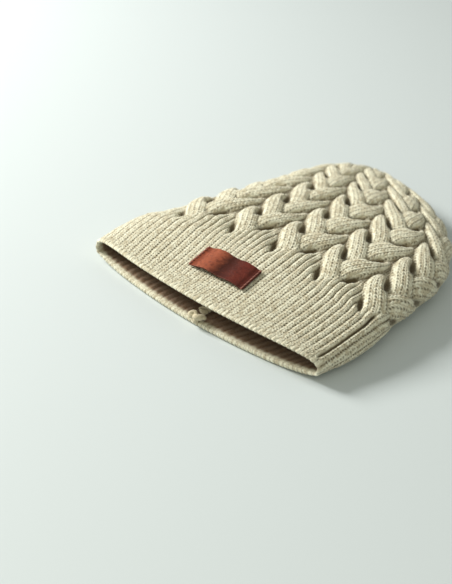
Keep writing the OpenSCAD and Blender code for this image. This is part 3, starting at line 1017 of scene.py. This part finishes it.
for build, name, y0, y1, cad_piece in (
    (seam_ridge, "seam_ridge", 4.0, SEAM_SPLIT - 0.5, "back_seam"),
    (seam_ridge, "seam_ridge_crown", SEAM_SPLIT + 0.5, SEAM_END, "crown_seam"),
    (seam_linking, "seam_linking", 8.0, SEAM_SPLIT - 4, "seam_linking_yarn"),
    (seam_linking, "seam_linking_crown", SEAM_SPLIT + 4, SEAM_END - 4, "crown_linking_yarn"),
):
    ob = build(name, y0, y1)
    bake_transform(ob, "hat", "crown", **CROWN_BLEND)
    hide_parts(cad_piece)


def fit(ob, part, cad_piece):
    """Make a small part ride on a moving part and stand in for its CAD piece."""
    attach(ob, part)
    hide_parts(cad_piece)


# ------------------------------------------------------------------ knots and gathering yarn
def trefoil(samples, swing):
    """The two wide coordinates of a trefoil knot, and the one that weaves over and under."""
    t = np.linspace(0, 2 * np.pi, samples)
    return (np.sin(t) + swing * np.sin(2 * t), np.cos(t) - swing * np.cos(2 * t),
            np.sin(3 * t))


def mouth_knot():
    """The knot where the seam ends at the lip, with two short ends."""
    centre = np.array([0.2, -MOUTH_DIP - 0.9, 7.9])
    wide, tall, weave = trefoil(220, swing=1.35)
    loops = np.stack([wide, 0.8 * weave, tall], 1) * np.array([2.4, 2.2, 1.5])
    right_end = [[1.5, 0, 0.5], [3.6, 1.2, 1.4], [5.2, 3.0, 0.8], [6.0, 4.6, -0.6]]
    left_end = [[-1.5, 0.3, 0], [-3.4, 1.4, 0.6], [-4.6, 3.2, -0.2]]
    paths = [centre + loops[:-6] * 0.86, centre + np.array(right_end),
             centre + np.array(left_end)]
    return yarn_tubes("seam_knot", paths, radius=2.35, material=SEAM_YARN, lay=3.4, sides=12)


def gather_ring():
    """The drawn-up yarn round the tip."""
    t = np.linspace(0, 2 * np.pi * 0.985, 160)
    ring = np.stack([tip_x + 4.0 * np.cos(t), HAT_LENGTH + 1.5 + 0.5 * np.sin(5 * t) + 0.3 * t / 6,
                     tip_z + 4.0 * np.sin(t)], 1)
    return yarn_tubes("gather_yarn", [ring], radius=1.35, material=SEAM_YARN, lay=3.2, sides=12)


def crown_tie():
    """The knot inside the crown, its lead to the tip and its two tails."""
    knot_y = HAT_LENGTH - 30
    centre = np.array([tip_x, knot_y, fold_z(knot_y) + 1])
    wide, tall, weave = trefoil(200, swing=1.3)
    loops = np.stack([wide, tall, 0.9 * weave], 1) * 1.45
    lead = np.array([[0, 0, 0], [0.4, 8, 0.4], [-0.3, 15, 0.2], [0, 20, 0]])
    tails = [centre + np.array([[0, 0, 0], [side * 2.2, -5, 0.5], [side * 4.6, -10, 0.2],
                                [side * 6.6, -15.5, -0.4]]) for side in (-1, 1)]
    return yarn_tubes("crown_tie", [centre + loops[:-5], centre + lead] + tails, radius=1.2,
                      material=SEAM_YARN, lay=3.2)


fit(mouth_knot(), "hat", "seam_end_knot")
fit(gather_ring(), "crown", "crown_gather_yarn")
fit(crown_tie(), "crown", "crown_knot")

# ------------------------------------------------------------------ the leather strip
LABEL_Z = top_z(LABEL_Y + 2) + 1.15
LABEL_TILT = math.atan((top_z(LABEL_Y + 15) - top_z(LABEL_Y - 15)) / 30)
STITCH_LINE = LABEL_LENGTH / 2 - LABEL_HEM / 2             # from the strip's middle
STITCH_PITCH = 4.0
STITCH_PLACES = [STITCH_PITCH * k for k in range(-3, 4)]


def on_label(x, y, z):
    """Label frame to the hat's: tilted up the slope of the band, then turned."""
    cos_turn, sin_turn = math.cos(LABEL_TURN), math.sin(LABEL_TURN)
    cos_tilt, sin_tilt = math.cos(LABEL_TILT), math.sin(LABEL_TILT)
    y, z = y * cos_tilt - z * sin_tilt, y * sin_tilt + z * cos_tilt
    return np.stack([LABEL_X + x * cos_turn - y * sin_turn,
                     LABEL_Y + x * sin_turn + y * cos_turn, LABEL_Z + z], -1)


def label_height(u, v):
    """Top of the strip over its flat underside, u along it and v across."""
    reach = LABEL_LENGTH / 2 - LABEL_HEM
    t = np.clip((u + reach) / (2 * reach), 0, 1)
    far = 0.5 + 0.5 * v / (LABEL_WIDTH / 2)
    # two swells with a dip between them, falling steeply to each row of stitches
    hump = ((2.15 + 0.45 * far) * (0.25 + 0.95 * bell(t, 0.30, 0.19) + 0.66 * bell(t, 0.76, 0.15))
            * smooth(t / 0.13) * smooth((1 - t) / 0.08))
    ripple = (0.14 * np.sin(4.2 * t + 1.1 * v / LABEL_WIDTH) * np.sin(np.pi * t)
              + 0.02 * np.sin(u * 0.9 + v * 0.35) * np.sin(np.pi * t))
    # pulled down by the thread along each row of stitches
    pull = sum(bell(np.abs(u), STITCH_LINE, 0.7) * bell(v, place, 1.2)
               for place in STITCH_PLACES)
    return LABEL_THICK + hump + ripple * 0.8 - 0.30 * pull


def leather_strip():
    rows, columns = 150, 76
    half_length, half_span = LABEL_LENGTH / 2, LABEL_WIDTH / 2
    u, v = np.meshgrid(np.linspace(-half_length, half_length, rows),
                       np.linspace(-half_span, half_span, columns), indexing="ij")
    waver = 0.18 * np.sin(u * 0.7) + 0.10 * np.sin(u * 1.9 + 1)
    top = label_height(u, v)
    corner = np.clip((np.abs(u) - (half_length - 1.8)) / 1.8, 0, 1)
    corner_share = 1 - 1.6 * (1 - np.sqrt(1 - 0.985 * corner**2)) / half_span
    # inset of the outline and drop below the top, for each layer from top to underside
    layers = []
    for trim, drop in ((0.35, 0.0), (0.0, -0.35), (0.0, -LABEL_THICK + 0.3),
                       (0.3, -LABEL_THICK)):
        layers.append(on_label(
            u * ((half_length - trim) / half_length),
            v * ((half_span - trim) / half_span * corner_share) + waver * (v / LABEL_WIDTH),
            top + drop))
    ob = thin_sheet("leather_strip", layers[0], layers[3], layers[1:3], LEATHER, sharp_angle=55)
    # darkness of the cut edge, with painted shade on the underside and the lower rim: top, underside, upper
    # rim, lower rim
    count, rim = rows * columns, 2 * (rows + columns - 2)
    add_attribute(ob, "edge", np.repeat([0, 0.8, 0.55, 1], [count, count, rim, rim]))
    return ob


def strip_stitches(name, side):
    t = np.linspace(-1, 1, 13)
    u = side * STITCH_LINE + 0.25 * t
    paths = []
    for place in STITCH_PLACES:
        v = place + 1.45 * t
        paths.append(on_label(u, v, label_height(u, v) + 0.42 - 1.5 * np.abs(t) ** 5))
    return yarn_tubes(name, paths, radius=0.52, material=LABEL_THREAD, lay=1.6)


fit(leather_strip(), "front_band", "leather_label")
for side, side_name in ((-1, "left"), (1, "right")):
    fit(strip_stitches("strip_stitches_" + side_name, side),
        "front_band", "label_stitches_" + side_name)

# ------------------------------------------------------------------ the satin label in the seam
CARE_REACH, CARE_WIDTH, CARE_THICK = 28.0, 34.0, 0.7       # along x, along y, along z
CARE_Y = 112.0
CARE_X = seam_x(CARE_Y) + 5
CARE_Z = wall(CARE_Y + CARE_WIDTH / 2) + 0.45 + 1.4


def satin_label():
    u, v = np.meshgrid(np.linspace(0, 1, 90), np.linspace(-0.5, 0.5, 60), indexing="ij")
    width = CARE_WIDTH - 1.6 * np.clip((u - 0.95) / 0.05, 0, 1) ** 2
    middle = (CARE_Z + CARE_THICK / 2 + 0.25 * np.sin(np.pi * u * 1.4) * np.cos(np.pi * v)
              + 0.15 * np.sin(9 * v + 3 * u))
    half_gap = (0.5 * CARE_THICK * np.sqrt(np.clip(1 - ((u - 0.5) / 0.5) ** 12, 0.03, 1))
                + 0.10 * np.sin(np.pi * u) ** 0.5)
    x, y = CARE_X + CARE_REACH * u, CARE_Y + width * v
    return thin_sheet("satin_label", np.stack([x, y, middle + half_gap], -1),
                      np.stack([x, y, middle - half_gap], -1), [], SATIN, sharp_angle=60)


def satin_stitches():
    t = np.linspace(-1, 1, 11)
    paths = [np.stack([CARE_X - 0.9 + 0.15 * t, CARE_Y + 6.5 * k + 1.6 * t,
                       CARE_Z - 0.3 - 0.7 * np.abs(t) ** 4], 1) for k in range(-2, 3)]
    return yarn_tubes("satin_label_stitches", paths, radius=0.4, material=CARE_THREAD, lay=1.4,
                      sides=8)


fit(satin_label(), "care_flap", "care_label")
fit(satin_stitches(), "hat", "care_label_stitches")

# ------------------------------------------------------------------ camera, light, floor
CAMERA_PLACE = Vector((412.663, -550.105, 491.679)) * MM
HEADING, DIP, ROLL = -0.616808, 0.589755, 0.125338         # radians: from +y, below level, roll


def add_camera():
    forward = Vector((math.sin(HEADING) * math.cos(DIP), math.cos(HEADING) * math.cos(DIP),
                      -math.sin(DIP)))
    level_right = forward.cross(Vector((0, 0, 1))).normalized()
    level_up = level_right.cross(forward)
    right = level_right * math.cos(ROLL) + level_up * math.sin(ROLL)
    up = -level_right * math.sin(ROLL) + level_up * math.cos(ROLL)
    data = bpy.data.cameras.new("camera")
    camera = bpy.data.objects.new("camera", data)
    bpy.context.scene.collection.objects.link(camera)
    rows = [(right[k], up[k], -forward[k], CAMERA_PLACE[k]) for k in range(3)]
    camera.matrix_world = Matrix((*rows, (0, 0, 0, 1)))
    data.sensor_width = 36
    data.lens = 67.80822
    focus = bpy.data.objects.new("focus", None)
    focus.location = (0.040, 0.050, 0.03)
    bpy.context.scene.collection.objects.link(focus)
    data.dof.use_dof = True
    data.dof.focus_object = focus
    data.dof.aperture_fstop = 6.3
    bpy.context.scene.camera = camera


def area_light(name, place, size, power, colour):
    """Square light aimed at the hat; metres and watts."""
    data = bpy.data.lights.new(name, "AREA")
    data.shape, data.size, data.energy, data.color = "SQUARE", size, power, colour
    light = bpy.data.objects.new(name, data)
    light.location = place
    aim = Vector((0.0, 0.12, 0.02)) - Vector(place)
    light.rotation_euler = aim.to_track_quat("-Z", "Y").to_euler()
    bpy.context.scene.collection.objects.link(light)


def add_world():
    world = bpy.data.worlds.new("world")
    bpy.context.scene.world = world
    world.use_nodes = True
    background = world.node_tree.nodes["Background"]
    background.inputs["Color"].default_value = (0.93, 0.965, 0.87, 1)
    background.inputs["Strength"].default_value = 0.36


def add_floor():
    shader = Shader("floor")
    shader.set({"Base Color": (0.63, 0.685, 0.70), "Roughness": 0.7})
    reach = 6000.0
    corners = np.array([[-1, -1, 0], [1, -1, 0], [1, 1, 0], [-1, 1, 0]]) * reach
    mesh_object("floor", corners, np.array([[0, 1, 2, 3]]), np.zeros((0, 3), int),
                         shader.material, smooth_shade=False)


add_camera()
bpy.context.scene.view_settings.view_transform = "Standard"
area_light("key", (-1.70, -0.34, 0.98), size=0.62, power=60, colour=(1.0, 0.985, 0.94))
area_light("fill", (0.45, -0.85, 0.9), size=1.2, power=3.6, colour=(1.0, 0.98, 0.82))
add_world()
add_floor()
